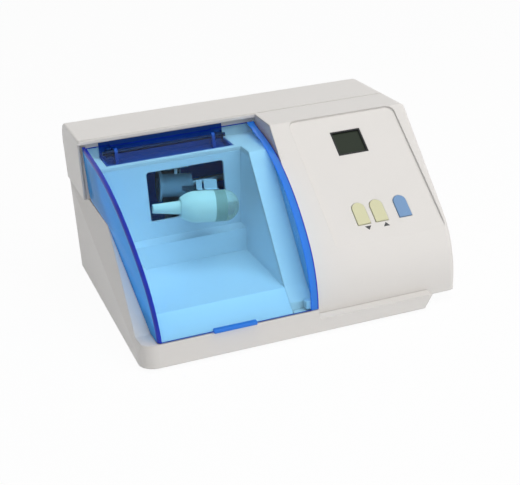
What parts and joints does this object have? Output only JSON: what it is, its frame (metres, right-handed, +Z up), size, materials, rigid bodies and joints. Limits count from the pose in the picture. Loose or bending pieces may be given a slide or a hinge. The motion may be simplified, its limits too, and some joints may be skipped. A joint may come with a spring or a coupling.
{
  "type": "dental amalgamator",
  "caption": "Desktop dental mixer with a clear hinged lid over a shaking capsule arm, a sloping panel with display and keys, and a rear mains inlet.",
  "frame": {"origin": "middle of the overall footprint, on the plane that the feet stand on", "axes": "+X to the user's right, +Y to the back, +Z up"},
  "size_m": [0.2474, 0.218, 0.122],
  "materials": {
    "housing": "satin moulded",
    "liner": "satin moulded",
    "tray": "satin moulded",
    "lid": "clear tinted",
    "rubber": "moulded",
    "steel": "plated",
    "spring_steel": "polished",
    "aluminium": "turned",
    "board": "solder mask",
    "black_plastic": "moulded",
    "window": "smoked",
    "key_cream": "moulded",
    "key_blue": "moulded",
    "copper": "wound",
    "black_steel": "black enamel",
    "core_steel": "laminated",
    "white_plastic": "moulded",
    "capsule_plastic": "moulded",
    "ring_plastic": "moulded",
    "dome_plastic": "clear",
    "glass": "clear",
    "brass": "plated"
  },
  "bodies": {
    "base": {"base_tray": "tray", "upper_housing": "housing", "mixing_chamber": "liner", "feet": "rubber", "foot_screws": "steel", "housing_screws": "steel", "hinge_pin": "steel", "hinge_brackets": "black_steel", "reed_switch": "glass", "display_window": "window", "display_frame": "black_plastic", "display_module": "black_plastic", "control_board": "board", "tact_switches": "black_plastic", "board_screws": "steel", "ribbon": "white_plastic", "motor_can": "steel", "end_shields": "aluminium", "bearings": "steel", "cradle": "steel", "rubber_mounts": "rubber", "cradle_screws": "steel", "restraint_leaf": "spring_steel", "grommet": "rubber", "power_board": "board", "board_parts": "black_plastic", "transformer_core": "core_steel", "transformer_coil": "copper", "inlet_shell": "black_plastic", "inlet_pins": "brass", "rocker_frame": "black_plastic"},
    "lid": {"lid": "lid", "lid_magnet": "black_plastic"},
    "rotor": {"drive_shaft": "steel", "wobble_journal": "steel", "armature": "core_steel", "fan": "black_plastic"},
    "arm": {"wobble_hub": "aluminium", "journal_race": "brass", "stud": "white_plastic", "shaker_arm": "aluminium", "capsule_clip": "spring_steel"},
    "capsule": {"capsule_body": "capsule_plastic", "capsule_ring": "ring_plastic", "capsule_dome": "dome_plastic"},
    "down_key": {"key_down": "key_cream"},
    "up_key": {"key_up": "key_cream"},
    "start_key": {"key_start": "key_blue"},
    "drawer": {"fuse_drawer": "black_plastic", "fuse": "glass"},
    "switch": {"rocker": "black_plastic"}
  },
  "joints": [
    {"name": "lid_hinge", "type": "hinge", "parent": "base", "child": "lid", "pos_m": [-0.06147, 0.0275, 0.11011], "axis": [-1, 0, 0], "range_deg": [0, 75]},
    {"name": "motor_spin", "type": "hinge", "parent": "base", "child": "rotor", "pos_m": [-0.00022, 0.0245, 0.07952], "axis": [1, 0, 0], "continuous": true},
    {"name": "arm_swing", "type": "hinge", "parent": "base", "child": "arm", "pos_m": [-0.05722, 0.0245, 0.07952], "axis": [0.1045, 0, 0.9945], "range_deg": [0, 10], "stiffness_Nm_per_rad": 0.6},
    {"name": "capsule_pull", "type": "slide", "parent": "arm", "child": "capsule", "axis": [-0.0867, -0.9962, 0.0091], "range_m": [0, 0.025]},
    {"name": "down_key_press", "type": "slide", "parent": "base", "child": "down_key", "axis": [0, 0.6428, -0.766], "range_m": [0, 0.0006], "stiffness_N_per_m": 800},
    {"name": "up_key_press", "type": "slide", "parent": "base", "child": "up_key", "axis": [0, 0.6428, -0.766], "range_m": [0, 0.0006], "stiffness_N_per_m": 800},
    {"name": "start_key_press", "type": "slide", "parent": "base", "child": "start_key", "axis": [0, 0.6428, -0.766], "range_m": [0, 0.0006], "stiffness_N_per_m": 800},
    {"name": "fuse_drawer_slide", "type": "slide", "parent": "base", "child": "drawer", "axis": [0, 1, 0], "range_m": [0, 0.014]},
    {"name": "rocker_tilt", "type": "hinge", "parent": "base", "child": "switch", "pos_m": [0.03778, 0.104, 0.0385], "axis": [0, 0, 1], "range_deg": [0, 18]}
  ]
}
